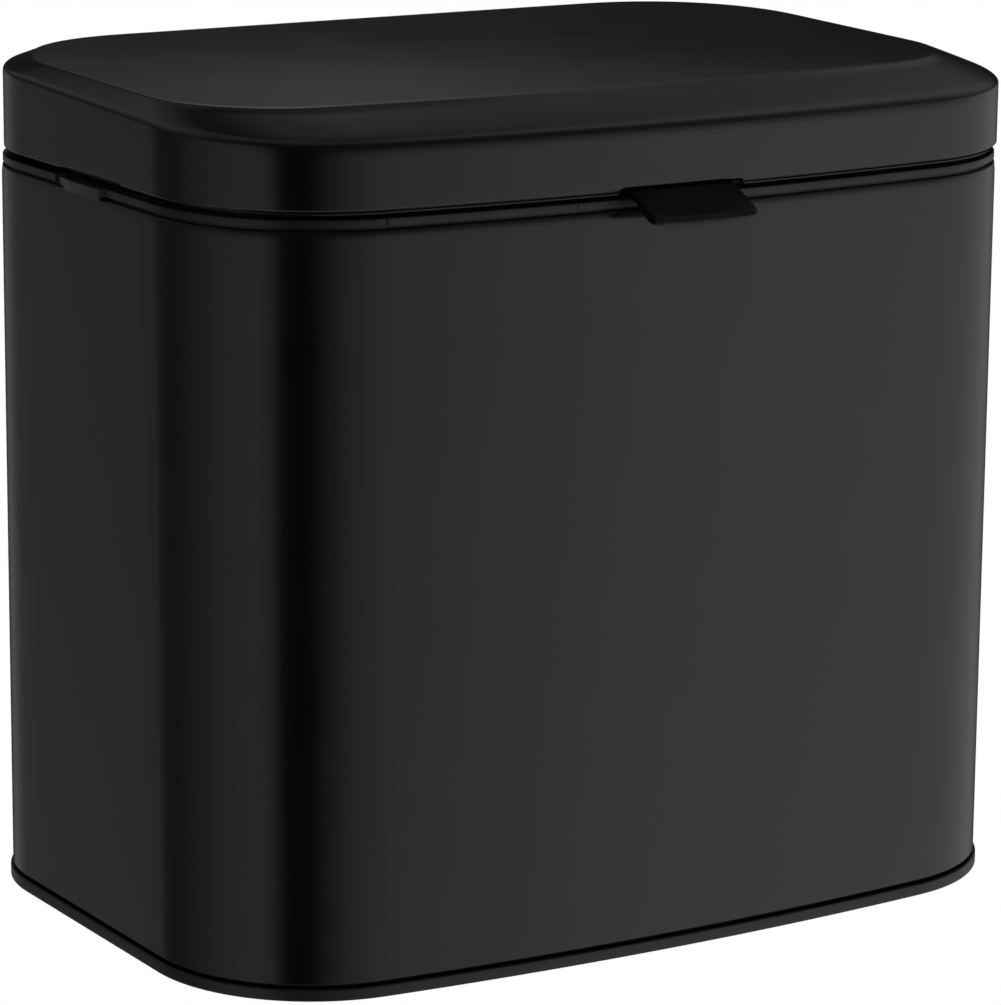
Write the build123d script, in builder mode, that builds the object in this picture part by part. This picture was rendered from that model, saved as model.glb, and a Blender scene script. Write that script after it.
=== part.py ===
"""Wall-mounted waste bin: a steel body on a wall rail, with a hinged lid and a lift-out bucket.

Millimetres, +Z up. The wall is the plane Y = 0 and the bin hangs in front of it, towards -Y.
The origin is the middle of the wall plate's back face. Heights are counted from the underside
of the bin and turned into Z by level().
"""
import os
from math import atan2, cos, degrees, radians, sin, sqrt

from build123d import *

# Body: footprint with a flat back, straight sides and a bowed front
body_width = 260.0
body_depth = 175.0
front_bow_radius = 895.0
front_corner_radius = 47.0
back_corner_radius = 42.0
shell_wall = 0.8
wall_gap = 14.0
hang_below_top = 45.5

# Plastic foot ring and the dark groove between it and the body
ring_height = 3.4
ring_proud = 0.7
groove_depth = 1.8
ring_groove = 0.9
ring_spigot = 10.0
ring_wall = 3.0
panel_thickness = 1.5
panel_clearance = 0.3

# Body shell and plastic rim band above it
shell_height = 201.2
collar_groove = 1.1
band_height = 2.0
band_inset = 0.3
spigot_length = 10.5
spigot_wall = 1.8
ledge_width = 9.5

# Bucket that hangs in the rim by its flange
flange_thickness = 1.6
flange_margin = 5.5
bucket_clearance = 0.5
bucket_wall = 1.6
bucket_taper = 6.0
bucket_floor_gap = 4.0
bucket_back_inset = 17.5
bucket_corner_radius = 36.0

# Lug on each side of the bucket, in a notch of the rim band
lug_length = 25.0
lug_forward = -6.5
lug_proud = 1.3
lug_ramp = 9.0
lug_clearance = 0.4
lug_root = 4.0
lug_apron_drop = 0.9
lug_apron_gap = 0.15

# Lid: steel skirt, slope and gently domed top
lid_gap = 2.25
lid_overhang = 0.3
lid_back_inset = 2.0
lid_skirt = 17.15
lid_rise = 5.2
shoulder_tilt = 5.9
crease_tilt = 2.9
lid_dome = 2.0
lid_dome_inset = 34.0
lid_wall = 1.0
slope_side = 7.4
slope_front = 28.2
slope_back = 0.5
shoulder_start = 1.2
shoulder_share = 0.2
shoulder_steps = 4
crease_front_radius = 35.5
crease_back_radius = 45.0
notch_rise = 0.6
side_relief_length = 36.0

# Plastic liner inside the lid
liner_gap = 0.2
liner_wall = 1.2
liner_drop = 1.1
liner_bead_height = 0.55
liner_bead_inset = 0.1
liner_plate_drop = 5.5
liner_plate_thickness = 1.5

# Rear hinges
hinge_spacing = 120.0
pivot_from_lid_back = 5.0
pivot_above_lid_edge = 7.65
pin_radius = 1.5
pin_running_clearance = 0.05
knuckle_radius = 3.0
knuckle_width = 14.0
knuckle_play = 0.4
ear_width = 4.0
notch_margin = 1.5
foot_thickness = 2.0
foot_forward = 9.5
ear_base_thickness = 2.0
ear_base_length = 10.0
screw_radius = 1.2
screw_head_radius = 2.2
screw_head_height = 1.2
foot_screw_spacing = 8.0
foot_screw_forward = 6.5
foot_screw_bite = 2.6
pin_overrun = 0.5

# Finger tab under the lid's front edge
tab_width = 32.0
tab_reach = 13.0
tab_drop = 6.2
tab_root_thickness = 1.8
tab_lip_height = 2.8
tab_lip_arch = 1.4
tab_scoop = 0.3
tab_belly = 1.2
tab_corner_radius = 2.0
tab_above_band = 0.5
tab_flange_thickness = 2.2
tab_flange_height = 9.0
tab_flange_gap = 0.3
tab_notch_play = 4.0
tab_screw_spacing = 20.0
tab_screw_height = 6.5

# Soft stops under the lid
buffer_radius = 3.0
buffer_height = 3.0
buffer_spacing = 150.0
buffer_inset = 8.7
buffer_rounding = 0.8
seat_gap = 0.3

# Bail handle of the bucket
bail_wire_radius = 1.5
bail_side_margin = 7.7
bail_forward = 67.0
bail_bend_radius = 36.0
bail_rest_gap = 0.5
bail_end_bend = 1.8
bail_hole_clearance = 0.3
bail_end_overrun = 1.0
bail_head_radius = 2.6
bail_head_height = 1.0
bucket_ear_gap = 0.4
bucket_ear_thickness = 3.0
bucket_ear_length = 10.0
bucket_ear_margin = 3.0
grip_radius = 5.0
grip_length = 92.0
grip_rounding = 1.5

# Wall plate and its rail
plate_width = 130.0
plate_height = 60.0
plate_thickness = 2.0
plate_corner_radius = 6.0
rail_width = 76.0
rail_gap = 5.0
rail_lip = 12.0
rail_height = 4.0
wall_screw_radius = 2.5
wall_screw_spacing_x = 108.0
wall_screw_spacing_z = 36.0

# Hanger on the body's back
hanger_width = 72.0
hanger_thickness = 2.0
hanger_lip_gap = 0.7
hanger_lip_depth = 10.0
hanger_flange = 26.0
rivet_radius = 2.0
rivet_head_radius = 3.6
rivet_head_height = 1.0
rivet_spacing_x = 56.0
rivet_spacing_z = 12.0
rivet_from_bottom = 10.0

# Rubber stand-offs low on the back
bumper_radius = 9.0
bumper_stem_radius = 3.0
bumper_head_radius = 4.5
bumper_head_length = 2.0
bumper_tip_radius = 7.5
bumper_spacing = 150.0
bumper_height = 40.0

# Heights above the underside of the bin
shell_bottom = ring_height + ring_groove
shell_top = shell_bottom + shell_height
hang_height = shell_top - hang_below_top
band_bottom = shell_top + collar_groove
band_top = band_bottom + band_height
flange_top = band_top + flange_thickness
lid_edge = band_top + lid_gap
lid_shoulder = lid_edge + lid_skirt
liner_edge = lid_edge - liner_drop
liner_plate_top = lid_shoulder - liner_plate_drop + liner_plate_thickness
liner_plate_under = liner_plate_top - liner_plate_thickness
pivot_height = lid_edge + pivot_above_lid_edge
tab_under = band_top + tab_above_band
bail_pivot = flange_top + bail_rest_gap + bail_wire_radius

# Distances in plan, with the wall at Y = 0
body_back = -wall_gap
body_front = body_back - body_depth
body_middle = (body_back + body_front) / 2
pivot_y = body_back - lid_back_inset - pivot_from_lid_back
hinge_middles = (-hinge_spacing / 2, hinge_spacing / 2)
lid_face = -lid_overhang


def level(height):
    """Z of a height above the underside of the bin."""
    return height - hang_height


def outline(plane, inset, front=None, back=None, front_radius=None, back_radius=None):
    """Closed footprint: its faces lie inset, front and back inside the body's faces."""
    front = inset if front is None else front
    back = inset if back is None else back
    rf = front_corner_radius - inset if front_radius is None else front_radius
    rk = back_corner_radius - inset if back_radius is None else back_radius
    half = body_width / 2 - inset
    y_front = body_front + front
    y_back = body_back - back
    bow = front_bow_radius - front
    bow_y = y_front + bow
    corner_x = half - rf
    corner_y = bow_y - sqrt((bow - rf) ** 2 - corner_x ** 2)
    turn = atan2(corner_y - bow_y, corner_x)
    join = (corner_x + rf * cos(turn), corner_y + rf * sin(turn))
    middle = (corner_x + rf * cos(turn / 2), corner_y + rf * sin(turn / 2))
    back_middle = (half - rk + rk * cos(radians(45)), y_back - rk + rk * sin(radians(45)))

    def left(point):
        return (-point[0], point[1])

    with BuildSketch(plane) as face:
        with BuildLine():
            Line((-half + rk, y_back), (half - rk, y_back))
            ThreePointArc((half - rk, y_back), back_middle, (half, y_back - rk))
            Line((half, y_back - rk), (half, corner_y))
            ThreePointArc((half, corner_y), middle, join)
            ThreePointArc(join, (0, y_front), left(join))
            ThreePointArc(left(join), left(middle), (-half, corner_y))
            Line((-half, corner_y), (-half, y_back - rk))
            ThreePointArc((-half, y_back - rk), left(back_middle), (-half + rk, y_back))
        make_face()
    return face.sketch


def flat(height):
    """Horizontal plane at a height above the underside of the bin."""
    return Plane.XY.offset(level(height))


def save(piece, name):
    """Label the finished piece and write it under its node's name."""
    piece.part.label = name
    export_step(piece.part, f"parts/{name}.step")


def front_face_y(x, inset):
    """Y of the bowed front face at x, for an outline that lies inset inside the body."""
    bow = front_bow_radius - inset
    return body_front + inset + bow - sqrt(bow ** 2 - x ** 2)


os.makedirs("parts", exist_ok=True)

# Hanger sizes that the rail, the rivets and the shell's holes share
rail_front = -plate_thickness - rail_gap - plate_thickness
rail_top = rail_height + rail_lip
hanger_web_under = rail_top
hanger_top = hanger_web_under + hanger_thickness
hanger_back = -plate_thickness - rail_gap + hanger_lip_gap + hanger_thickness
hanger_bottom = hanger_top - hanger_flange
rivet_z = hanger_bottom + rivet_from_bottom
bumper_z = level(bumper_height)
bumper_places = [(-bumper_spacing / 2, bumper_z), (bumper_spacing / 2, bumper_z)]

# Wall plate: flat steel with four screw holes and a rail folded forwards and up
with BuildPart() as wall_plate:
    with BuildSketch(Plane.XZ):
        RectangleRounded(plate_width, plate_height, plate_corner_radius)
        with GridLocations(wall_screw_spacing_x, wall_screw_spacing_z, 2, 2):
            Circle(wall_screw_radius, mode=Mode.SUBTRACT)
    extrude(amount=plate_thickness)
    with BuildSketch(Plane.YZ):
        with BuildLine():
            Polyline(
                (-plate_thickness, rail_height - plate_thickness),
                (rail_front, rail_height - plate_thickness),
                (rail_front, rail_top),
                (rail_front + plate_thickness, rail_top),
                (rail_front + plate_thickness, rail_height),
                (-plate_thickness, rail_height),
                close=True,
            )
        make_face()
    extrude(amount=rail_width / 2, both=True)
save(wall_plate, "wall_plate")

# Body shell: thin steel wrap, with holes for the rivets and the rubber stems in its back
with BuildPart() as body_shell:
    with BuildSketch(flat(shell_bottom)):
        add(outline(Plane.XY, 0))
        add(outline(Plane.XY, shell_wall), mode=Mode.SUBTRACT)
    extrude(amount=shell_height)
    with BuildSketch(Plane.XZ.offset(wall_gap)):
        with Locations((0, rivet_z)):
            with GridLocations(rivet_spacing_x, rivet_spacing_z, 2, 2):
                Circle(rivet_radius)
        with Locations(bumper_places):
            Circle(bumper_stem_radius)
    extrude(amount=shell_wall, mode=Mode.SUBTRACT)
save(body_shell, "body_shell")

# Foot ring: proud foot, recessed groove and a spigot inside the shell
with BuildPart() as base_ring:
    with BuildSketch(flat(0)):
        add(outline(Plane.XY, -ring_proud))
        add(outline(Plane.XY, shell_wall + ring_wall), mode=Mode.SUBTRACT)
    extrude(amount=ring_height)
    with BuildSketch(flat(ring_height)):
        add(outline(Plane.XY, groove_depth))
        add(outline(Plane.XY, shell_wall + ring_wall), mode=Mode.SUBTRACT)
    extrude(amount=ring_groove)
    with BuildSketch(flat(shell_bottom)):
        add(outline(Plane.XY, shell_wall))
        add(outline(Plane.XY, shell_wall + ring_wall), mode=Mode.SUBTRACT)
    extrude(amount=ring_spigot)
save(base_ring, "base_ring")

# Base panel: sheet that closes the body, seated on the top of the ring's spigot
panel_bottom = shell_bottom + ring_spigot
with BuildPart() as base_panel:
    with BuildSketch(flat(panel_bottom)):
        add(outline(Plane.XY, shell_wall + panel_clearance))
    extrude(amount=panel_thickness)
save(base_panel, "base_panel")

# Rim collar: groove, visible band with a ledge for the bucket, and a spigot inside the shell
ledge_inset = band_inset + ledge_width
opening_back = bucket_back_inset + ledge_width - flange_margin
lug_middle_y = body_middle - lug_forward
notch_length = lug_length + 2 * lug_clearance
foot_screw_y = pivot_y - foot_screw_forward
with BuildPart() as rim_collar:
    with BuildSketch(flat(shell_top - spigot_length)):
        add(outline(Plane.XY, shell_wall))
        add(outline(Plane.XY, shell_wall + spigot_wall), mode=Mode.SUBTRACT)
    extrude(amount=spigot_length)
    with BuildSketch(flat(shell_top)):
        add(outline(Plane.XY, groove_depth))
        add(outline(Plane.XY, ledge_inset, back=opening_back), mode=Mode.SUBTRACT)
    extrude(amount=collar_groove)
    with BuildSketch(flat(band_bottom)):
        add(outline(Plane.XY, band_inset))
        add(outline(Plane.XY, ledge_inset, back=opening_back), mode=Mode.SUBTRACT)
    extrude(amount=band_height)
    with BuildSketch(flat(shell_top + seat_gap)):
        with Locations((-body_width / 2, lug_middle_y), (body_width / 2, lug_middle_y)):
            Rectangle(2 * (flange_margin + lug_root), notch_length)
    extrude(amount=band_top - shell_top, mode=Mode.SUBTRACT)
    with BuildSketch(flat(band_top)):
        with Locations([(x, foot_screw_y) for x in hinge_middles]):
            with GridLocations(foot_screw_spacing, 1, 2, 1):
                Circle(screw_radius)
    extrude(amount=-foot_screw_bite, mode=Mode.SUBTRACT)
save(rim_collar, "rim_collar")

# Inner bucket: tapered wall, flange on the collar's ledge, ears for the bail, and side lugs
# with an apron that hangs over the shell's top edge
wall_inset = ledge_inset + bucket_clearance
wall_back = opening_back + bucket_clearance
bucket_bottom = panel_bottom + panel_thickness + bucket_floor_gap
bail_x = body_width / 2 - bail_side_margin
ear_outer_x = bail_x - bail_wire_radius - bucket_ear_gap
ear_inner_x = ear_outer_x - bucket_ear_thickness
lug_inner_x = body_width / 2 - flange_margin - lug_root + lug_clearance
lug_outer_x = body_width / 2 - band_inset + lug_proud
lug_bottom = shell_top + 2 * seat_gap
lug_top = band_top - seat_gap
lug_rear_y = lug_middle_y + lug_length / 2
lug_front_y = lug_middle_y - lug_length / 2
apron_inner_x = body_width / 2 + lug_apron_gap
apron_rear_y = lug_rear_y - lug_ramp * (apron_inner_x - lug_outer_x + lug_proud) / lug_proud


def bucket_outline(height, extra):
    """Bucket wall's outline at a height, extra inside the outline of its mouth."""
    radius = bucket_corner_radius - extra
    return outline(flat(height), wall_inset + extra, back=wall_back + extra,
                   front_radius=radius, back_radius=radius)


with BuildPart() as inner_bucket:
    add(bucket_outline(bucket_bottom, bucket_taper))
    add(bucket_outline(flange_top, 0))
    loft(ruled=True)
    with BuildSketch(flat(band_top)):
        add(outline(Plane.XY, flange_margin, back=bucket_back_inset))
    extrude(amount=flange_thickness)
    for side in (-1, 1):
        with BuildSketch(flat(lug_bottom)):
            with BuildLine():
                Polyline(
                    (side * lug_inner_x, lug_rear_y),
                    (side * (lug_outer_x - lug_proud), lug_rear_y),
                    (side * lug_outer_x, lug_rear_y - lug_ramp),
                    (side * lug_outer_x, lug_front_y),
                    (side * lug_inner_x, lug_front_y),
                    close=True,
                )
            make_face()
        extrude(amount=lug_top - lug_bottom)
        with BuildSketch(flat(lug_bottom - lug_apron_drop)):
            with BuildLine():
                Polyline(
                    (side * apron_inner_x, apron_rear_y),
                    (side * lug_outer_x, lug_rear_y - lug_ramp),
                    (side * lug_outer_x, lug_front_y),
                    (side * apron_inner_x, lug_front_y),
                    close=True,
                )
            make_face()
        extrude(amount=lug_apron_drop)
        with BuildSketch(flat(lug_bottom)):
            with Locations((side * (lug_inner_x + lug_root / 2), lug_middle_y)):
                Rectangle(lug_root, lug_length)
        extrude(amount=flange_top - lug_bottom)
        with BuildSketch(Plane.YZ.offset(side * (ear_inner_x + ear_outer_x) / 2)):
            with BuildLine():
                Polyline(
                    (body_middle - bucket_ear_length / 2, level(band_top)),
                    (body_middle - bucket_ear_length / 2, level(bail_pivot)),
                    (body_middle - bucket_ear_length / 4, level(bail_pivot + bucket_ear_margin)),
                    (body_middle + bucket_ear_length / 4, level(bail_pivot + bucket_ear_margin)),
                    (body_middle + bucket_ear_length / 2, level(bail_pivot)),
                    (body_middle + bucket_ear_length / 2, level(band_top)),
                    close=True,
                )
            make_face()
            with Locations((body_middle, level(bail_pivot))):
                Circle(bail_wire_radius + bail_hole_clearance, mode=Mode.SUBTRACT)
        extrude(amount=bucket_ear_thickness / 2, both=True)
    add(bucket_outline(bucket_bottom + bucket_wall, bucket_taper + bucket_wall))
    add(bucket_outline(flange_top, bucket_wall))
    loft(ruled=True, mode=Mode.SUBTRACT)
save(inner_bucket, "inner_bucket")

# Bail: steel wire that lies on the flange, folded forwards, with its headed ends in the ears
bail_front_y = body_middle - bail_forward
bail_end_x = ear_inner_x - bail_end_overrun
with BuildPart() as bail_wire:
    with BuildLine() as bail_path:
        FilletPolyline(
            (-bail_end_x, body_middle, level(bail_pivot)),
            (-bail_x, body_middle, level(bail_pivot)),
            (-bail_x, bail_front_y, level(bail_pivot)),
            (bail_x, bail_front_y, level(bail_pivot)),
            (bail_x, body_middle, level(bail_pivot)),
            (bail_end_x, body_middle, level(bail_pivot)),
            radius=[bail_end_bend, bail_bend_radius, bail_bend_radius, bail_end_bend],
        )
    with BuildSketch(Plane.YZ.offset(-bail_end_x)):
        with Locations((body_middle, level(bail_pivot))):
            Circle(bail_wire_radius)
    sweep()
    for side in (-1, 1):
        with BuildSketch(Plane.YZ.offset(side * (bail_end_x - bail_head_height / 2))):
            with Locations((body_middle, level(bail_pivot))):
                Circle(bail_head_radius)
        extrude(amount=bail_head_height / 2, both=True)
save(bail_wire, "bail_wire")

# Grip: plastic tube on the middle of the bail
with BuildPart() as bail_grip:
    with BuildSketch(Plane.YZ):
        with Locations((bail_front_y, level(bail_pivot))):
            Circle(grip_radius)
            Circle(bail_wire_radius, mode=Mode.SUBTRACT)
    extrude(amount=grip_length / 2, both=True)
    fillet(bail_grip.edges().filter_by(GeomType.CIRCLE).sort_by(SortBy.RADIUS)[-2:], grip_rounding)
save(bail_grip, "bail_grip")


def lid_outline(share, height, tilt, thickness, extra=0):
    """Lid's outline at a share of the slope, from the skirt (0) to the crease (1).

    Its plane rises by tilt from the body's front to its back.
    """
    slope = tilt / body_depth
    plane = Plane(origin=(0, 0, level(height) - slope * body_front), x_dir=(1, 0, 0),
                  z_dir=(0, -slope, 1))
    inward = thickness + extra
    skirt_front_radius = front_corner_radius + lid_overhang
    skirt_back_radius = back_corner_radius + lid_overhang
    front_radius = skirt_front_radius * (1 - share) + crease_front_radius * share
    back_radius = skirt_back_radius * (1 - share) + crease_back_radius * share
    return outline(plane, lid_face + slope_side * share + inward,
                   front=lid_face + slope_front * share + inward,
                   back=lid_back_inset + slope_back * share + inward,
                   front_radius=front_radius - inward, back_radius=back_radius - inward)


def lid_sections(thickness):
    """Outlines from the lid's edge over the shoulder and the slope to the domed top."""
    top = lid_shoulder - thickness
    sections = [lid_outline(0, lid_edge, 0, thickness),
                lid_outline(0, top - shoulder_start, shoulder_tilt, thickness)]
    for step in range(1, shoulder_steps + 1):
        u = step / shoulder_steps
        share = shoulder_share * u ** 2
        height = top - shoulder_start * (1 - u) ** 2 + lid_rise * share
        tilt = shoulder_tilt + (crease_tilt - shoulder_tilt) * share
        sections.append(lid_outline(share, height, tilt, thickness))
    sections.append(lid_outline(1, top + lid_rise, crease_tilt, thickness))
    dome_height = top + lid_rise + lid_dome
    sections.append(lid_outline(1, dome_height, crease_tilt, thickness, lid_dome_inset))
    return sections


back_notch_width = knuckle_width + 2 * notch_margin
back_notch_height = pivot_above_lid_edge + pivot_from_lid_back
front_notch_width = tab_width + 2 * tab_notch_play
lid_front = body_front + lid_face
side_places = [(-body_width / 2, body_middle), (body_width / 2, body_middle)]

# Lid shell: pressed steel, open underneath, relieved over the tab, the lugs and the hinge posts
with BuildPart() as lid_shell:
    for section in lid_sections(0):
        add(section)
    loft(ruled=True)
    for section in lid_sections(lid_wall):
        add(section)
    loft(ruled=True, mode=Mode.SUBTRACT)
    with BuildSketch(flat(lid_edge)):
        with Locations([(x, body_back) for x in hinge_middles]):
            Rectangle(back_notch_width, 2 * (body_back - pivot_y - knuckle_radius))
    extrude(amount=back_notch_height, mode=Mode.SUBTRACT)
    with BuildSketch(flat(lid_edge)):
        with Locations((0, lid_front)):
            Rectangle(front_notch_width, 4 * lid_wall)
        with Locations(side_places):
            Rectangle(4 * lid_wall, side_relief_length)
    extrude(amount=notch_rise, mode=Mode.SUBTRACT)
save(lid_shell, "lid_shell")

# Liner: plastic tray in the lid, open at the back, with bosses for the soft stops and a bead that
# shows under the lid's front edge and dies out in the front corners
liner_outside = lid_face + lid_wall + liner_gap
liner_inside = liner_outside + liner_wall
liner_back = lid_back_inset + lid_wall + liner_gap
buffer_y = front_face_y(buffer_spacing / 2, buffer_inset)
buffer_places = [(-buffer_spacing / 2, buffer_y), (buffer_spacing / 2, buffer_y)]
buffer_bottom = flange_top + seat_gap
tab_screw_z = level(tab_under + tab_screw_height)
tab_screw_places = [(-tab_screw_spacing / 2, tab_screw_z), (tab_screw_spacing / 2, tab_screw_z)]
ear_start = knuckle_width / 2 + knuckle_play
ear_screw_x = ear_start + ear_width + ear_base_length / 2
ear_screw_places = []
for hinge_x in hinge_middles:
    for side in (-1, 1):
        ear_screw_places.append((hinge_x + side * ear_screw_x, pivot_y))
with BuildPart() as lid_liner:
    with BuildSketch(flat(liner_edge)):
        add(outline(Plane.XY, liner_outside, back=liner_back))
    extrude(amount=liner_plate_top - liner_edge)
    with BuildSketch(flat(liner_edge)):
        add(outline(Plane.XY, liner_inside, front=liner_bead_inset, back=liner_back + liner_wall))
    extrude(amount=liner_bead_height)
    with BuildSketch(flat(liner_edge)):
        add(outline(Plane.XY, liner_inside, back=liner_back + liner_wall))
    extrude(amount=liner_plate_under - liner_edge, mode=Mode.SUBTRACT)
    with BuildSketch(flat(liner_edge)):
        with Locations((0, body_back)):
            Rectangle(body_width - 2 * back_corner_radius, 2 * (body_back - pivot_y + knuckle_radius))
    extrude(amount=liner_plate_under - liner_edge, mode=Mode.SUBTRACT)
    with BuildSketch(flat(buffer_bottom + buffer_height)):
        with Locations(buffer_places):
            Circle(buffer_radius)
    extrude(amount=liner_plate_under - buffer_bottom - buffer_height)
    with BuildSketch(flat(liner_edge)):
        with Locations((0, lid_front)):
            Rectangle(front_notch_width, 4 * (liner_inside - lid_face))
        with Locations(side_places):
            Rectangle(4 * (liner_inside - lid_face), side_relief_length)
    extrude(amount=lid_edge + notch_rise - liner_edge, mode=Mode.SUBTRACT)
    with BuildSketch(Plane.XZ.offset(-body_front - liner_inside)):
        with Locations(tab_screw_places):
            Circle(screw_radius)
    extrude(amount=liner_wall, both=True, mode=Mode.SUBTRACT)
    with BuildSketch(flat(liner_plate_under)):
        with Locations(ear_screw_places):
            Circle(screw_radius)
    extrude(amount=liner_plate_thickness, mode=Mode.SUBTRACT)
save(lid_liner, "lid_liner")

# Soft stops: rubber caps under the liner's bosses, just above the bucket's flange
with BuildPart() as lid_buffers:
    with BuildSketch(flat(buffer_bottom)):
        with Locations(buffer_places):
            Circle(buffer_radius)
    extrude(amount=buffer_height)
    fillet(lid_buffers.edges().group_by(Axis.Z)[0], buffer_rounding)
save(lid_buffers, "lid_buffers")

# Finger tab: full-bellied lip with an arched lower edge, and a flange screwed to the liner
flange_front = body_front + liner_inside + tab_flange_gap
flange_back = flange_front + tab_flange_thickness
tab_top = tab_under + tab_root_thickness
tip_y = lid_front - tab_reach
tip_top = tab_top - tab_drop
tip_under = tip_top - tab_lip_height
scoop_y = (lid_front + tip_y) / 2
with BuildPart() as finger_tab:
    with BuildSketch(Plane.YZ):
        with BuildLine():
            Polyline(
                (lid_front, level(tab_top)),
                (flange_front, level(tab_top)),
                (flange_front, level(tab_under + tab_flange_height)),
                (flange_back, level(tab_under + tab_flange_height)),
                (flange_back, level(tab_under)),
                (lid_front, level(tab_under)),
            )
            ThreePointArc(
                (lid_front, level(tab_under)),
                (scoop_y, level((tab_under + tip_under) / 2 - tab_belly)),
                (tip_y, level(tip_under)),
            )
            Line((tip_y, level(tip_under)), (tip_y, level(tip_top)))
            ThreePointArc(
                (tip_y, level(tip_top)),
                (scoop_y, level((tab_top + tip_top) / 2 - tab_scoop)),
                (lid_front, level(tab_top)),
            )
        make_face()
    extrude(amount=tab_width / 2, both=True)
    fillet(finger_tab.edges().filter_by(Axis.Z).group_by(Axis.Y)[0], tab_corner_radius)
    with BuildSketch(Plane.XZ.offset(-lid_front)):
        with BuildLine():
            ThreePointArc(
                (-tab_width / 2, level(tip_under + tab_lip_arch)),
                (0, level(tip_under)),
                (tab_width / 2, level(tip_under + tab_lip_arch)),
            )
            Polyline(
                (tab_width / 2, level(tip_under + tab_lip_arch)),
                (tab_width / 2, level(tip_under - tab_belly)),
                (-tab_width / 2, level(tip_under - tab_belly)),
                (-tab_width / 2, level(tip_under + tab_lip_arch)),
            )
        make_face()
    extrude(amount=tab_reach, mode=Mode.SUBTRACT)
    with BuildSketch(Plane.XZ.offset(-flange_back)):
        with Locations(tab_screw_places):
            Circle(screw_radius)
    extrude(amount=tab_flange_thickness, mode=Mode.SUBTRACT)
save(finger_tab, "finger_tab")

# Tab screws: from inside the lid, through the tab's flange into the liner
with BuildPart() as tab_screws:
    with BuildSketch(Plane.XZ.offset(-flange_back)):
        with Locations(tab_screw_places):
            Circle(screw_radius)
    extrude(amount=tab_flange_thickness + tab_flange_gap + liner_wall)
    with BuildSketch(Plane.XZ.offset(-flange_back)):
        with Locations(tab_screw_places):
            Circle(screw_head_radius)
    extrude(amount=-screw_head_height)
save(tab_screws, "tab_screws")

# Hinge posts: a foot on the collar's rear ledge and a column with the knuckle's bore
with BuildPart() as hinge_posts:
    for hinge_x in hinge_middles:
        with BuildSketch(Plane.YZ.offset(hinge_x)):
            with BuildLine():
                Polyline(
                    (pivot_y + knuckle_radius, level(pivot_height)),
                    (pivot_y + knuckle_radius, level(band_top)),
                    (pivot_y - foot_forward, level(band_top)),
                    (pivot_y - foot_forward, level(band_top + foot_thickness)),
                    (pivot_y - knuckle_radius, level(band_top + foot_thickness)),
                    (pivot_y - knuckle_radius, level(pivot_height)),
                )
                ThreePointArc(
                    (pivot_y - knuckle_radius, level(pivot_height)),
                    (pivot_y, level(pivot_height + knuckle_radius)),
                    (pivot_y + knuckle_radius, level(pivot_height)),
                )
            make_face()
            with Locations((pivot_y, level(pivot_height))):
                Circle(pin_radius + pin_running_clearance, mode=Mode.SUBTRACT)
        extrude(amount=knuckle_width / 2, both=True)
        with BuildSketch(flat(band_top)):
            with Locations((hinge_x, foot_screw_y)):
                with GridLocations(foot_screw_spacing, 1, 2, 1):
                    Circle(screw_radius)
        extrude(amount=foot_thickness, mode=Mode.SUBTRACT)
save(hinge_posts, "hinge_posts")

# Screws of the hinge posts, down into the collar
with BuildPart() as hinge_post_screws:
    with BuildSketch(flat(band_top - foot_screw_bite)):
        with Locations([(x, foot_screw_y) for x in hinge_middles]):
            with GridLocations(foot_screw_spacing, 1, 2, 1):
                Circle(screw_radius)
    extrude(amount=foot_screw_bite + foot_thickness)
    with BuildSketch(flat(band_top + foot_thickness)):
        with Locations([(x, foot_screw_y) for x in hinge_middles]):
            with GridLocations(foot_screw_spacing, 1, 2, 1):
                Circle(screw_head_radius)
    extrude(amount=screw_head_height)
save(hinge_post_screws, "hinge_post_screws")

# Hinge ears: a pair beside each post, hanging from the liner's plate
with BuildPart() as lid_hinge_ears:
    for hinge_x in hinge_middles:
        for side in (-1, 1):
            with BuildSketch(Plane.YZ.offset(hinge_x + side * (ear_start + ear_width / 2))):
                with BuildLine():
                    Polyline(
                        (pivot_y + knuckle_radius, level(pivot_height)),
                        (pivot_y + knuckle_radius, level(liner_plate_under)),
                        (pivot_y - knuckle_radius, level(liner_plate_under)),
                        (pivot_y - knuckle_radius, level(pivot_height)),
                    )
                    ThreePointArc(
                        (pivot_y - knuckle_radius, level(pivot_height)),
                        (pivot_y, level(pivot_height - knuckle_radius)),
                        (pivot_y + knuckle_radius, level(pivot_height)),
                    )
                make_face()
                with Locations((pivot_y, level(pivot_height))):
                    Circle(pin_radius, mode=Mode.SUBTRACT)
            extrude(amount=ear_width / 2, both=True)
            with BuildSketch(flat(liner_plate_under - ear_base_thickness)):
                with Locations((hinge_x + side * ear_screw_x, pivot_y)):
                    Rectangle(ear_base_length, 2 * knuckle_radius)
                    Circle(screw_radius, mode=Mode.SUBTRACT)
            extrude(amount=ear_base_thickness)
save(lid_hinge_ears, "lid_hinge_ears")

# Screws of the ears, up into the liner's plate
with BuildPart() as lid_hinge_screws:
    with BuildSketch(flat(liner_plate_under - ear_base_thickness)):
        with Locations(ear_screw_places):
            Circle(screw_radius)
    extrude(amount=ear_base_thickness + liner_plate_thickness)
    with BuildSketch(flat(liner_plate_under - ear_base_thickness)):
        with Locations(ear_screw_places):
            Circle(screw_head_radius)
    extrude(amount=-screw_head_height)
save(lid_hinge_screws, "lid_hinge_screws")

# Hinge pins: held in the ears, turning in the posts
pin_length = knuckle_width + 2 * (knuckle_play + ear_width + pin_overrun)
with BuildPart() as hinge_pins:
    for hinge_x in hinge_middles:
        with BuildSketch(Plane.YZ.offset(hinge_x)):
            with Locations((pivot_y, level(pivot_height))):
                Circle(pin_radius)
        extrude(amount=pin_length / 2, both=True)
save(hinge_pins, "hinge_pins")

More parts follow.
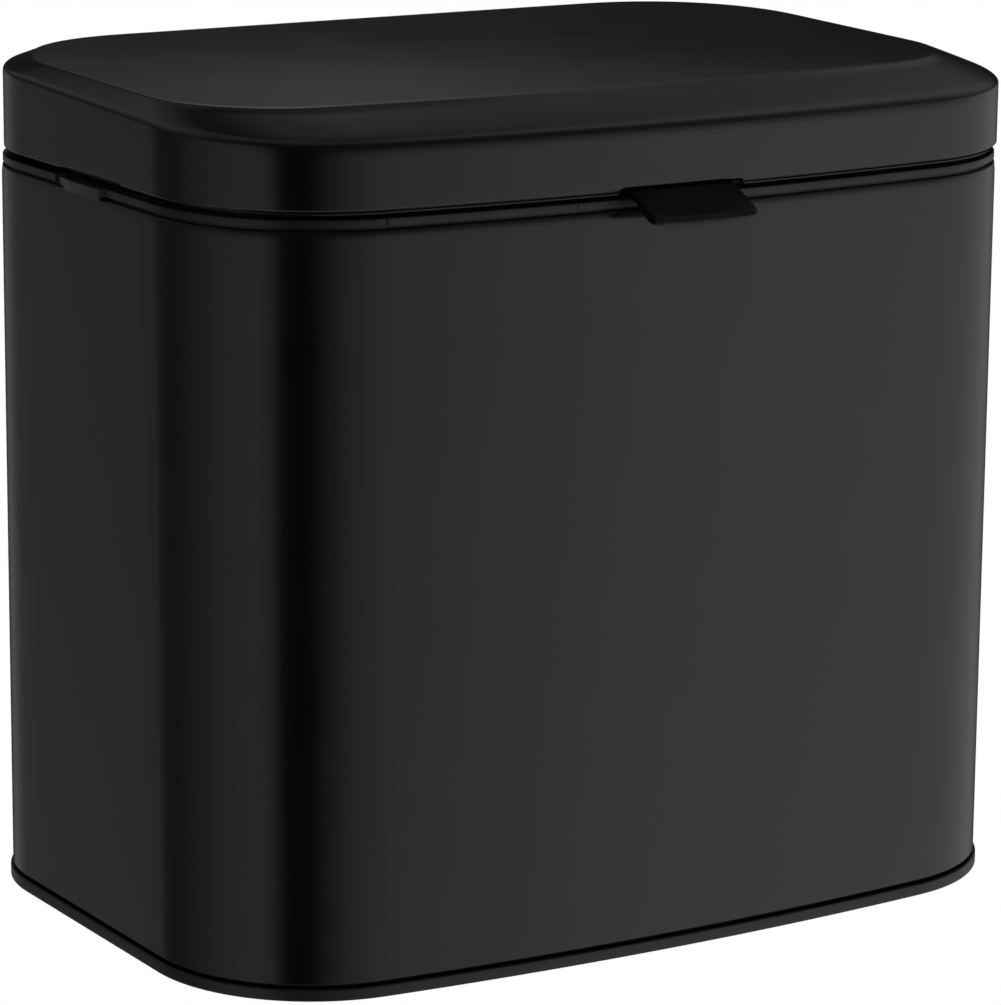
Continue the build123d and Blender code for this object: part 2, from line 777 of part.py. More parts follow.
# Hanger: folded steel, riveted to the body's back, its lip dropped behind the rail
with BuildPart() as hanger_bracket:
    with BuildSketch(Plane.YZ):
        with BuildLine():
            Polyline(
                (body_back, hanger_bottom),
                (body_back, hanger_top),
                (hanger_back, hanger_top),
                (hanger_back, hanger_web_under - hanger_lip_depth),
                (hanger_back - hanger_thickness, hanger_web_under - hanger_lip_depth),
                (hanger_back - hanger_thickness, hanger_web_under),
                (body_back + hanger_thickness, hanger_web_under),
                (body_back + hanger_thickness, hanger_bottom),
                close=True,
            )
        make_face()
    extrude(amount=hanger_width / 2, both=True)
    with BuildSketch(Plane.XZ.offset(wall_gap)):
        with Locations((0, rivet_z)):
            with GridLocations(rivet_spacing_x, rivet_spacing_z, 2, 2):
                Circle(rivet_radius)
    extrude(amount=-hanger_thickness, mode=Mode.SUBTRACT)
save(hanger_bracket, "hanger_bracket")

# Rivets through the hanger and the shell, with a head on each side
with BuildPart() as hanger_rivets:
    with BuildSketch(Plane.XZ.offset(wall_gap - hanger_thickness - rivet_head_height)):
        with Locations((0, rivet_z)):
            with GridLocations(rivet_spacing_x, rivet_spacing_z, 2, 2):
                Circle(rivet_radius)
    extrude(amount=hanger_thickness + shell_wall + 2 * rivet_head_height)
    for head_offset in (wall_gap - hanger_thickness - rivet_head_height, wall_gap + shell_wall):
        with BuildSketch(Plane.XZ.offset(head_offset)):
            with Locations((0, rivet_z)):
                with GridLocations(rivet_spacing_x, rivet_spacing_z, 2, 2):
                    Circle(rivet_head_radius)
        extrude(amount=rivet_head_height)
save(hanger_rivets, "hanger_rivets")

# Stand-offs: rubber cones between body and wall, snapped into the shell by their stems
with BuildPart() as wall_bumpers:
    with BuildSketch(Plane.XZ):
        with Locations(bumper_places):
            Circle(bumper_tip_radius)
    extrude(amount=wall_gap, taper=-degrees(atan2(bumper_radius - bumper_tip_radius, wall_gap)))
    with BuildSketch(Plane.XZ.offset(wall_gap)):
        with Locations(bumper_places):
            Circle(bumper_stem_radius)
    extrude(amount=shell_wall)
    with BuildSketch(Plane.XZ.offset(wall_gap + shell_wall)):
        with Locations(bumper_places):
            Circle(bumper_head_radius)
    extrude(amount=bumper_head_length)
save(wall_bumpers, "wall_bumpers")
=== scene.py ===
"""Wall-mounted waste bin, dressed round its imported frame.

Metres, +Z up, the wall at Y = 0 and the bin in front of it, towards -Y. The sections follow
the bin as it is put together: wall plate, body, rim, bucket, lid, then the studio.
"""
from math import atan2, cos, pi, radians, sin, sqrt

import bmesh
import bpy
import numpy as np
from mathutils import Matrix, Vector


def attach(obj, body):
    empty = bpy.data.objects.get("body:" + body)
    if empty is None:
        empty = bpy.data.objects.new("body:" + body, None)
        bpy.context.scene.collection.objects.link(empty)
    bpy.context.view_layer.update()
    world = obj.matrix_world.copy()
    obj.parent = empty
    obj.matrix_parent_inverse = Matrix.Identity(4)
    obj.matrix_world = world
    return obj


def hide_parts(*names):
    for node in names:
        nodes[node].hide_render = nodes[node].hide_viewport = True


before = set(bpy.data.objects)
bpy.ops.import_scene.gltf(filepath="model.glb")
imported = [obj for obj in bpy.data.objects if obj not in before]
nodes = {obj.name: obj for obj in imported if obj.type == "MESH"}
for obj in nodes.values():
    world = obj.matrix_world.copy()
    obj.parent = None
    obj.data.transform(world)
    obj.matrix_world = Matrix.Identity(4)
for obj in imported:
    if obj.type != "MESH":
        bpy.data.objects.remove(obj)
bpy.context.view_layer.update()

# Wall plate and its rail
# The plate is 2 mm zinc-plated steel, screwed to the wall through four holes. A strip of it
# is folded forwards and up as the rail that the bin's hanger drops behind.


def grain(tree, scale, detail):
    """Noise over the piece's own Object coordinates, scale in lumps per metre."""
    place = tree.nodes.new("ShaderNodeTexCoord")
    noise = tree.nodes.new("ShaderNodeTexNoise")
    noise.inputs["Scale"].default_value = scale
    noise.inputs["Detail"].default_value = detail
    tree.links.new(place.outputs["Object"], noise.inputs["Vector"])
    return noise.outputs["Fac"]


def tint(tree, factor, socket, low, high):
    """Colour that goes from low to high over the middle third of the factor."""
    ramp = tree.nodes.new("ShaderNodeValToRGB")
    for element, position, colour in zip(ramp.color_ramp.elements, (0.35, 0.65), (low, high)):
        element.position = position
        element.color = (*colour, 1.0)
    tree.links.new(factor, ramp.inputs["Fac"])
    tree.links.new(ramp.outputs["Color"], socket)


def spread_value(tree, factor, socket, low, high):
    """Number that goes from low to high as the factor goes from 0.3 to 0.7."""
    span = tree.nodes.new("ShaderNodeMapRange")
    for end, number in (("From Min", 0.3), ("From Max", 0.7), ("To Min", low), ("To Max", high)):
        span.inputs[end].default_value = number
    tree.links.new(factor, span.inputs["Value"])
    tree.links.new(span.outputs["Result"], socket)


def relief(tree, factor, shader, strength, depth):
    """Bump of that depth in metres from the factor."""
    bump = tree.nodes.new("ShaderNodeBump")
    bump.inputs["Strength"].default_value = strength
    bump.inputs["Distance"].default_value = depth
    tree.links.new(factor, bump.inputs["Height"])
    tree.links.new(bump.outputs["Normal"], shader.inputs["Normal"])


def finish(name, roughness, specular, shade_grain, shades, gloss_grain, gloss, bump_grain,
           strength, depth, metallic=0.0):
    """Material whose colour, gloss and surface each follow a grain of their own.

    A grain is its lumps per metre and its detail. shades and gloss are the low and the high
    end of the colour and of the roughness; the single roughness is for viewers without nodes.
    """
    material = bpy.data.materials.new(name)
    material.use_nodes = True
    tree = material.node_tree
    shader = tree.nodes["Principled BSDF"]
    shader.inputs["Roughness"].default_value = roughness
    shader.inputs["Metallic"].default_value = metallic
    shader.inputs["Specular IOR Level"].default_value = specular
    tint(tree, grain(tree, *shade_grain), shader.inputs["Base Color"], *shades)
    spread_value(tree, grain(tree, *gloss_grain), shader.inputs["Roughness"], *gloss)
    relief(tree, grain(tree, *bump_grain), shader, strength, depth)
    return material


zinc = finish("zinc_plated_steel", 0.34, 0.5, (140.0, 4.0),
              ((0.42, 0.43, 0.44), (0.62, 0.63, 0.63)), (420.0, 3.0), (0.26, 0.44),
              (2600.0, 2.0), 0.25, 0.00003, metallic=1.0)


def paint(name, material):
    """Give a carried-over CAD node its finish."""
    nodes[name].data.materials.clear()
    nodes[name].data.materials.append(material)


paint("wall_plate", zinc)

# Body shell
# The body is one wrap of 0.8 mm steel sheet, 260 x 175 mm, with a flat back, straight sides
# and a slightly bowed front. It is powder coated in satin black, inside and out.
footprint_half_width = 0.130
body_depth = 0.175
front_y = -0.189
back_y = -0.014
bow_radius = 0.895
front_corner = 0.047
back_corner = 0.042
underside_z = -0.160
even_straight = np.linspace(0.0, 1.0, 9)
corner_steps = np.linspace(0.0, 1.0, 25)
bow_steps = np.linspace(0.0, 1.0, 41)


def footprint(side, front=None, back=None, front_radius=None, back_radius=None,
              bow_at=bow_steps, back_at=even_straight, side_at=even_straight):
    """Closed lines round the bin, one row for each value of side, run anticlockwise.

    side, front and back say how far the line lies inside the body's faces, and the radii are
    its corners'. The line is a front arc of the bow's radius less front, from -turn to +turn,
    a corner arc, a straight side, a corner arc, the straight back, and the same again; the
    front corner's centre, front_cx and front_cy, is where its arc touches both the side and
    the bow.
    """
    side = np.atleast_1d(np.asarray(side, float))[:, None]

    def column(value, fallback):
        return fallback if value is None else np.atleast_1d(np.asarray(value, float))[:, None]

    front = column(front, side)
    back = column(back, side)
    front_r = column(front_radius, front_corner - side)
    back_r = column(back_radius, back_corner - side)
    half = footprint_half_width - side
    bow = bow_radius - front
    bow_y = front_y + bow_radius
    front_cx = half - front_r
    front_cy = bow_y - np.sqrt((bow - front_r) ** 2 - front_cx ** 2)
    turn = np.arctan2(front_cx, bow_y - front_cy)
    back_cx = half - back_r
    back_cy = back_y - back - back_r
    curl = corner_steps[None, :-1]
    bend = -turn + 2 * turn * bow_at[None, :-1]
    right = turn + (pi / 2 - turn) * curl
    climb = np.asarray(side_at)[None, :-1]
    cross = np.asarray(back_at)[None, :-1]
    quarter = pi / 2 * curl
    left = (pi / 2 - turn) * curl
    xs = [bow * np.sin(bend), front_cx + front_r * np.sin(right), half + 0 * climb,
          back_cx + back_r * np.cos(quarter), back_cx - 2 * back_cx * cross,
          -back_cx - back_r * np.sin(quarter), -half + 0 * climb,
          -front_cx - front_r * np.cos(left)]
    ys = [bow_y - bow * np.cos(bend), front_cy - front_r * np.cos(right),
          front_cy + (back_cy - front_cy) * climb, back_cy + back_r * np.sin(quarter),
          back_cy + back_r + 0 * cross, back_cy + back_r * np.cos(quarter),
          back_cy + (front_cy - back_cy) * climb, front_cy - front_r * np.sin(left)]
    return np.concatenate(xs, 1), np.concatenate(ys, 1)


def raised(xs, ys, heights, tilt=0.0):
    """Grid of points from footprint rows and their heights above the bin's underside.

    tilt is the rise in metres from the front to the back, one number or one for each row.
    """
    heights = np.asarray(heights, float)[:, None]
    lift = np.atleast_1d(np.asarray(tilt, float))[:, None] * (ys - front_y) / body_depth
    return np.stack([xs, ys, underside_z + heights + lift], 2)


def placed(name, mesh, work, material, body, sharp):
    """Object at the origin from a worked-on mesh, shaded smooth between its sharp edges."""
    bmesh.ops.recalc_face_normals(work, faces=work.faces)
    work.to_mesh(mesh)
    work.free()
    mesh.shade_smooth()
    mesh.set_sharp_from_angle(angle=radians(sharp))
    mesh.materials.append(material)
    made = bpy.data.objects.new(name, mesh)
    bpy.context.scene.collection.objects.link(made)
    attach(made, body)
    return made


def skin(name, grid, material, body, ring=False, sharp=32.0):
    """Mesh whose vertices are the grid's points, with quads between neighbouring rows.

    The columns close on themselves. With ring the last row also joins the first, as in a
    hoop; otherwise the end rows are gathered points. Points that coincide are merged.
    """
    rows, columns = grid.shape[:2]
    index = np.arange(rows * columns).reshape(rows, columns)
    low = index if ring else index[:-1]
    high = np.roll(index, -1, 0) if ring else index[1:]
    faces = np.stack([low, np.roll(low, -1, 1), np.roll(high, -1, 1), high], 2).reshape(-1, 4)
    mesh = bpy.data.meshes.new(name)
    mesh.from_pydata(grid.reshape(-1, 3).tolist(), [], faces.tolist())
    work = bmesh.new()
    work.from_mesh(mesh)
    bmesh.ops.remove_doubles(work, verts=work.verts, dist=2e-7)
    bmesh.ops.dissolve_degenerate(work, edges=work.edges, dist=1e-7)
    return placed(name, mesh, work, material, body, sharp)


def rounded(corners, radii, steps=6):
    """Closed profile with its corners rounded.

    Each corner gives way to a quadratic curve that starts and ends the radius away from it
    on its two edges: P = (1-t)^2 A + 2t(1-t) corner + t^2 B.
    """
    corners = np.asarray(corners, float)
    before = np.roll(corners, 1, 0) - corners
    after = np.roll(corners, -1, 0) - corners
    reach = np.asarray(radii, float)[:, None]
    a = corners + before / np.linalg.norm(before, axis=1)[:, None] * reach
    b = corners + after / np.linalg.norm(after, axis=1)[:, None] * reach
    t = np.linspace(0.0, 1.0, steps)[None, :, None]
    curve = (1 - t) ** 2 * a[:, None] + 2 * t * (1 - t) * corners[:, None] + t ** 2 * b[:, None]
    return curve.reshape(-1, 2)


powder = finish("satin_black_powder_coat", 0.2, 0.5, (60.0, 3.0),
                ((0.0011, 0.0011, 0.0012), (0.0018, 0.0018, 0.0019)), (35.0, 4.0),
                (0.175, 0.205), (1300.0, 3.0), 0.10, 0.00002)

body_sheet, wrap_foot, wrap_top = 0.0008, 0.0043, 0.2055
roll_in, roll_from, roll_height, top_edge_in = 0.00025, 0.2025, 0.0029, 0.00033
corner_points = 6
wrap = rounded([(0.0, wrap_foot), (0.0, wrap_top), (body_sheet, wrap_top),
                (body_sheet, wrap_foot)], [0.00035, 0.0001, 0.0001, 0.00035], corner_points)
# In place of its outer top corner, the top 3 mm of the sheet's outside lean in along a
# parabola, to 0.25 mm at the edge
climb = np.linspace(0.0, 1.0, 13)
wrap = np.concatenate([wrap[:corner_points],
                       np.stack([roll_in * climb ** 2, roll_from + roll_height * climb], 1),
                       [[top_edge_in, wrap_top]], wrap[2 * corner_points:]])
xs, ys = footprint(wrap[:, 0])
body_shell = skin("body_wrap", raised(xs, ys, wrap[:, 1]), powder, "bin",
                  ring=True)
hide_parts("body_shell")

# Foot ring and base panel
# A moulded ring of black plastic closes the foot. It stands 0.7 mm proud of the steel under a
# shadow groove 0.9 mm high and 1.8 mm deep, and a sheet-steel panel lies on its spigot.
plastic = finish("black_moulded_plastic", 0.34, 0.44, (90.0, 3.0),
                 ((0.0026, 0.0026, 0.0027), (0.0044, 0.0044, 0.0046)), (60.0, 3.0),
                 (0.31, 0.38), (2400.0, 2.0), 0.22, 0.00003)

ring_proud, ring_height, groove_in = 0.0007, 0.0034, 0.0018
spigot_out, ring_in, spigot_top = 0.0009, 0.0038, 0.0143
foot = rounded([(-ring_proud, 0.0), (-ring_proud, ring_height), (groove_in, ring_height),
                (groove_in, wrap_foot), (spigot_out, wrap_foot), (spigot_out, spigot_top),
                (ring_in, spigot_top), (ring_in, 0.0)],
               [0.0004, 0.0005, 0.0002, 0.0002, 0.0001, 0.0004, 0.0004, 0.0004])
xs, ys = footprint(foot[:, 0])
foot_ring = skin("foot_ring", raised(xs, ys, foot[:, 1]), plastic, "bin",
                 ring=True)
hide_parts("base_ring")
paint("base_panel", powder)

# Rim collar
# The black plastic collar is pushed into the top of the wrap. It shows as a 2 mm band over a
# shadow groove, with a notch on each side for the bucket's lugs and fine joints on the front.
lug_middle_y = -0.095
lug_notch = 0.0258
notch_x = 0.1205
joint_marks = np.array([-0.087, -0.032, 0.066])
joint_half_width = 0.00018
joint_depth = 0.00025
collar_foot, collar_wall_in = 0.1950, 0.0026
band_in, band_low, band_top = 0.0003, 0.2066, 0.2086
ledge_in, ledge_edge, ledge_back_extra = 0.0098, 0.0095, 0.0117
notch_floor, band_face = 0.2057, 0.0006
# A point is on a side where |x| is over beside, and in front where y is under in_front
beside, in_front = 0.11, -0.15
collar = rounded([(spigot_out, collar_foot), (spigot_out, wrap_top), (groove_in, wrap_top),
                  (groove_in, band_low), (band_in, band_low), (band_in, band_top),
                  (ledge_in, band_top), (ledge_in, wrap_top), (collar_wall_in, wrap_top),
                  (collar_wall_in, collar_foot)],
                 [0.0003, 0.0002, 0.0002, 0.0002, 0.00006, 0.0004, 0.0005, 0.0004, 0.0003,
                  0.0003])
inner_rows = collar[:, 0] > ledge_edge
notch_edges = np.array([lug_middle_y - lug_notch / 2, lug_middle_y + lug_notch / 2])
# The walls of notches and joints run over a hair, so little that they look square
hair = 0.00004
mark_turns = np.arcsin(np.concatenate([joint_marks + shift for shift in (
    -joint_half_width - hair, -joint_half_width, joint_half_width, joint_half_width + hair)])
    / bow_radius)


def stations(start, end, marks):
    """Shares of the way from start to end, with the marks among evenly spaced ones."""
    least_gap = 0.006
    marks = (np.asarray(marks) - start) / (end - start)
    even = np.linspace(0.0, 1.0, 15)
    near = np.abs(even[:, None] - marks[None, :]).min(1) < least_gap
    return np.sort(np.concatenate([even[~near | (even == 0) | (even == 1)], marks]))


corner_middle_x = footprint_half_width - front_corner
corner_middle_y = (front_y + bow_radius
                   - sqrt((bow_radius - front_corner) ** 2 - corner_middle_x ** 2))
bow_turn = atan2(corner_middle_x, front_y + bow_radius - corner_middle_y)
back_corner_y = back_y - back_corner
side_stations = stations(corner_middle_y, back_corner_y,
                         np.concatenate([notch_edges - hair, notch_edges + hair]))
bow_stations = stations(-bow_turn, bow_turn, mark_turns)
xs, ys = footprint(collar[:, 0], back=collar[:, 0] + ledge_back_extra * inner_rows,
                   side_at=side_stations, bow_at=bow_stations)
height = collar[:, 1][:, None]
in_notch = ((np.abs(ys - lug_middle_y) < lug_notch / 2) & (height > notch_floor)
            & (np.abs(xs) > beside))
xs = np.where(in_notch, np.clip(xs, -notch_x, notch_x), xs)
in_joint = ((np.abs(xs[:, :, None] - joint_marks).min(2) < joint_half_width + hair / 2)
            & (ys < in_front) & (collar[:, 0][:, None] < band_face))
ys = np.where(in_joint, ys + joint_depth, ys)
rim_collar = skin("rim_collar_band", raised(xs, ys, collar[:, 1]), plastic,
                  "bin", ring=True)
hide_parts("rim_collar")

# Inner bucket
# The black moulded bucket hangs in the collar by its flange. Its wall tapers by 6 mm, a lug on
# each side reaches out through the band's notch to be lifted by, and two ears hold the bail.
pail_black = finish("black_bucket_plastic", 0.42, 0.4, (70.0, 3.0),
                    ((0.0150, 0.0150, 0.0155), (0.0200, 0.0200, 0.0205)), (90.0, 3.0),
                    (0.38, 0.48), (2000.0, 2.0), 0.2, 0.00003)

# Outside from the floor up, over the flange and down the inside. Columns: extra inset of the
# wall, height, share of the way out to the flange's edge
pail = np.array([
    [0.0100, 0.0198, 0], [0.0085, 0.0198, 0], [0.0068, 0.0205, 0], [0.0060, 0.0225, 0],
    [0.0050, 0.0513, 0], [0.0025, 0.1300, 0], [0.0002, 0.2080, 0], [0.0000, 0.2086, 0.12],
    [0.0000, 0.2086, 0.94], [0.0000, 0.2089, 1], [0.0000, 0.2099, 1], [0.0000, 0.2102, 0.93],
    [0.0000, 0.2102, 0.10], [0.0004, 0.21015, 0], [0.0011, 0.2098, 0], [0.0016, 0.2088, 0],
    [0.0040, 0.1300, 0], [0.0064, 0.0513, 0], [0.0076, 0.0240, 0], [0.0086, 0.0220, 0],
    [0.0105, 0.0214, 0]])
wall_side, wall_back, wall_radius = 0.0103, 0.0220, 0.0360
edge_side, edge_back = 0.0055, 0.0175
out = pail[:, 2]
side_in = (wall_side + pail[:, 0]) * (1 - out) + edge_side * out
back_in = (wall_back + pail[:, 0]) * (1 - out) + edge_back * out
front_round = (wall_radius - pail[:, 0]) * (1 - out) + (front_corner - edge_side) * out
back_round = (wall_radius - pail[:, 0]) * (1 - out) + (back_corner - edge_side) * out
xs, ys = footprint(side_in, back=back_in, front_radius=front_round, back_radius=back_round)
grid = raised(xs, ys, pail[:, 1])


def gathered(row, share):
    """Row of points drawn towards its own middle by share; 1 makes it a pole."""
    middle = row.mean(0, keepdims=True) * [1, 1, 0] + row * [0, 0, 1]
    return row + (middle - row) * share


def closed_ends(grid):
    """Grid with both end rows gathered to poles, by way of a row halfway in."""
    return np.concatenate([gathered(grid[0], 1.0)[None], gathered(grid[0], 0.5)[None], grid,
                           gathered(grid[-1], 0.5)[None], gathered(grid[-1], 1.0)[None]])


pail_shell = skin("bucket_pail", closed_ends(grid), pail_black, "bucket")
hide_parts("inner_bucket")


def slab(name, outline, low, high, along, material, body, edge):
    """Block with rounded edges: a flat outline carried from low to high along one axis.

    The outline's two numbers are the other two axes in order. A bevel of the width edge
    softens it.
    """
    outline = np.asarray(outline, float)
    count = len(outline)
    ends = [np.insert(outline, along, level, axis=1) for level in (low, high)]
    ring = np.arange(count)
    walls = np.stack([ring, np.roll(ring, -1), np.roll(ring, -1) + count, ring + count], 1)
    mesh = bpy.data.meshes.new(name)
    mesh.from_pydata(np.concatenate(ends).tolist(), [],
                     walls.tolist() + [ring[::-1].tolist(), (ring + count).tolist()])
    work = bmesh.new()
    work.from_mesh(mesh)
    bmesh.ops.bevel(work, geom=work.edges, offset=edge, segments=3, profile=0.5,
                    affect="EDGES", clamp_overlap=True)
    return placed(name, mesh, work, material, body, sharp=40.0)


# Lug: a block in the notch, an apron that laps over the body's top edge, and a stem behind the
# band; its outer face runs back into the body over a ramp
rear, tip = lug_middle_y + 0.0127, lug_middle_y - 0.0125
lug_in, stem_out, lug_rear_out, apron_in, lug_out = 0.1209, 0.1225, 0.1297, 0.13015, 0.1310
ramp, apron_ramp = 0.009, 0.0031
lug_low, lug_high = underside_z + 0.2061, underside_z + 0.2083
apron_low, apron_high = underside_z + 0.2052, underside_z + 0.20615
stem_high = underside_z + 0.2095
lug_edge, stem_edge = 0.00008, 0.0003
for side, word in ((-1, "left"), (1, "right")):
    slab("bucket_lug_" + word,
         [(side * lug_in, rear), (side * lug_rear_out, rear), (side * lug_out, rear - ramp),
          (side * lug_out, tip), (side * lug_in, tip)],
         lug_low, lug_high, 2, pail_black, "bucket", lug_edge)
    slab("bucket_lug_apron_" + word,
         [(side * apron_in, rear - apron_ramp), (side * lug_out, rear - ramp),
          (side * lug_out, tip), (side * apron_in, tip)],
         apron_low, apron_high, 2, pail_black, "bucket", lug_edge)
    slab("bucket_lug_stem_" + word,
         [(side * lug_in, rear), (side * stem_out, rear), (side * stem_out, tip),
          (side * lug_in, tip)],
         lug_low, stem_high, 2, pail_black, "bucket", stem_edge)

# Bail ears: a plate with a rounded top on each side of the mouth, holding the wire's end
middle_y = -0.1015
eye_z, ear_foot = underside_z + 0.2122, underside_z + band_top
ear_in, ear_out, ear_edge = 0.1174, 0.1204, 0.0003
ear_side = [(0.0050, ear_foot), (0.0050, eye_z), (0.0040, eye_z + 0.0020),
            (0.0022, eye_z + 0.0030)]
ear_outline = ([(middle_y - half, z) for half, z in ear_side]
               + [(middle_y + half, z) for half, z in ear_side[::-1]])
for side, word in ((-1, "left"), (1, "right")):
    slab("bucket_ear_" + word, ear_outline, side * ear_in, side * ear_out, 0, pail_black,
         "bucket", ear_edge)
paint("bail_wire", zinc)
paint("bail_grip", plastic)

# Lid shell
# The lid is pressed from 1 mm steel and powder coated like the body. Its skirt is 17 mm high
# in front and 23 mm at the back, and folds over into a slope up to the crowned top.
lid_edge, lid_shoulder = 0.21085, 0.2280
lid_rise, shoulder_tilt, crease_tilt, lid_crown = 0.0052, 0.0059, 0.0029, 0.0020
slope_side, slope_front, slope_back = 0.0074, 0.0282, 0.0005
lid_overhang, lid_back_in, shoulder_share, shoulder_start = 0.0003, 0.0020, 0.20, 0.0012
crease_front_radius, crease_back_radius = 0.0355, 0.0450
crease_start, crease_reach = 0.95, 0.0014
crown_half_width, crown_half_depth = 0.1230, 0.0730
hem, hem_curl = 0.0003, 1.6
# Skirt rows are depths below the shoulder, and they take on its tilt over lean_over; crown
# rows are insets from the crease
skirt_rows = np.array([0.0140, 0.0090, 0.0045])
lean_over = 0.0130
crown_rows = np.array([0.008, 0.013, 0.019, 0.026, 0.034])
roll = np.linspace(0.0, 1.0, 9)
fold = np.linspace(0.0, 1.0, 9)
slope_steps = np.linspace(shoulder_share, crease_start, 5)[1:-1]


def lid_rows(thickness):
    """Share of the slope, height and extra inset of the lid's rows, from skirt to crown.

    The last result is the rise of the row's plane from the front to the back, which grows up
    the skirt. The shoulder is a parabola: share 0.2 u^2, height -1.2 (1-u)^2 + 5.2 * 0.2 u^2
    mm. The crease is a quadratic curve from the slope into the top, and the rest lies on the
    crown.
    """
    top = lid_shoulder - thickness
    into_top = 1 - (1 - crease_start) * (1 - fold) ** 2
    share = np.concatenate([0 * skirt_rows, shoulder_share * roll ** 2, slope_steps, into_top,
                            np.ones(crown_rows.size)])
    extra = np.concatenate([np.zeros(skirt_rows.size + roll.size + slope_steps.size),
                            crease_reach * fold ** 2, crown_rows])
    height = np.concatenate([
        top - skirt_rows,
        top - shoulder_start * (1 - roll) ** 2 + lid_rise * shoulder_share * roll ** 2,
        top + lid_rise * slope_steps, top + lid_rise * into_top,
        np.full(crown_rows.size, top + lid_rise)])
    shown = np.clip((height - top + skirt_rows[0]) / lean_over, 0, 1)
    return share, height, extra, shoulder_tilt * shown + (crease_tilt - shoulder_tilt) * share


def lid_footprint(share, inward, bow_at, back_at):
    """Rows of the lid's outline at shares of the slope, drawn in by inward."""
    skirt_front, skirt_back = front_corner + lid_overhang, back_corner + lid_overhang
    return footprint(-lid_overhang + slope_side * share + inward, side_at=lid_side_at,
                     front=-lid_overhang + slope_front * share + inward,
                     back=lid_back_in + slope_back * share + inward,
                     front_radius=skirt_front * (1 - share) + crease_front_radius * share - inward,
                     back_radius=skirt_back * (1 - share) + crease_back_radius * share - inward,
                     bow_at=bow_at, back_at=back_at)


def crown(grid, shown):
    """Lift the top where shown is 1, by lid_crown times (1 - (x/a)^2)(1 - (y/b)^2).

    a and b are the crown's half width and half depth, y runs from the top's middle, and
    beyond them nothing is lifted.
    """
    across = np.clip(np.abs(grid[:, :, 0]) / crown_half_width, 0, 1)
    middle = (front_y + slope_front + back_y - lid_back_in - slope_back) / 2
    deep = np.clip(np.abs(grid[:, :, 1] - middle) / crown_half_depth, 0, 1)
    grid[:, :, 2] += shown * lid_crown * (1 - across ** 2) * (1 - deep ** 2)
    return grid


tab_notch_half, edge_relief, relief_end = 0.0200, 0.0006, 0.0015
hinge_x, hinge_notch_half, hinge_notch_rise, hinge_notch_depth = 0.060, 0.0085, 0.01265, 0.0040
back_straight_half, skirt_beside, lug_relief_half, skirt_share = 0.0880, 0.12, 0.018, 0.9
lid_bow_at = stations(-bow_turn, bow_turn, np.arcsin(
    np.array([-tab_notch_half, -tab_notch_half + relief_end, tab_notch_half - relief_end,
              tab_notch_half]) / bow_radius))
notch_xs = np.array([side * hinge_x + end * (hinge_notch_half + shift) for side in (1, -1)
                     for end in (1, -1) for shift in (-hair, hair)])
lid_back_at = stations(back_straight_half, -back_straight_half, notch_xs)
lid_side_at = np.linspace(0.0, 1.0, 41)
sheet = 0.001
share, tall, extra, lean = lid_rows(0.0)
share_in, tall_in, extra_in, lean_in = lid_rows(sheet)
curl = np.linspace(0.0, pi, 11)
outer_x, outer_y = lid_footprint(share, extra, lid_bow_at, lid_back_at)
inner_x, inner_y = lid_footprint(share_in, extra_in + sheet, lid_bow_at, lid_back_at)
lip_in = np.where(curl < pi / 2, hem * (1 - np.cos(curl)),
                  hem + (sheet - hem) * -np.cos(curl))
lip_up = np.where(curl < pi / 2, hem * hem_curl, sheet - hem) * (1 - np.sin(curl))
lip_x, lip_y = lid_footprint(np.zeros(curl.size), lip_in, lid_bow_at, lid_back_at)
outer = crown(raised(outer_x, outer_y, tall, lean), (extra > 0).astype(float)[:, None])
inner = crown(raised(inner_x, inner_y, tall_in, lean_in),
              (extra_in > 0).astype(float)[:, None])
lip = raised(lip_x, lip_y, lid_edge + lip_up)


def crowned_cap(ring, height, steps=(0.15, 0.32, 0.5, 0.68, 0.85, 1.0)):
    """Rows drawn from the ring to a pole in its middle, lying on the tilted, crowned top."""
    middle = np.array([0.0, (ring[:, 1].min() + ring[:, 1].max()) / 2])
    plan = np.stack([ring[:, :2] + (middle - ring[:, :2]) * step for step in steps])
    z = underside_z + height + crease_tilt * (plan[:, :, 1] - front_y) / body_depth
    return crown(np.concatenate([plan, z[:, :, None]], 2), 1.0)


grid = np.concatenate([crowned_cap(inner[-1], lid_shoulder - sheet + lid_rise)[::-1],
                       inner[::-1], lip[::-1], outer,
                       crowned_cap(outer[-1], lid_shoulder + lid_rise)])


def edge_lift(grid):
    """Height of the lid's edge above its level: 0.6 mm over the tab and over each lug.

    Each relief runs out over 1.5 mm at its ends.
    """
    x, y = np.abs(grid[:, :, 0]), grid[:, :, 1]
    over_tab = np.clip((tab_notch_half - x) / relief_end, 0, 1) * (y < in_front)
    over_lug = np.clip((lug_relief_half - np.abs(y - middle_y)) / relief_end, 0, 1)
    over_lug = over_lug * (x > skirt_beside)
    return edge_relief * np.maximum(over_tab, over_lug)


edge_z = underside_z + lid_edge
grid[:, :, 2] = np.maximum(grid[:, :, 2],
                           edge_z + edge_lift(grid) + skirt_share * (grid[:, :, 2] - edge_z))
by_hinge = ((np.abs(np.abs(grid[:, :, 0]) - hinge_x) < hinge_notch_half)
            & (grid[:, :, 1] > back_y - hinge_notch_depth))
grid[:, :, 2] = np.where(by_hinge, np.maximum(grid[:, :, 2], edge_z + hinge_notch_rise),
                         grid[:, :, 2])
lid_shell = skin("lid_pressing", grid, powder, "lid")
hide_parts("lid_shell")

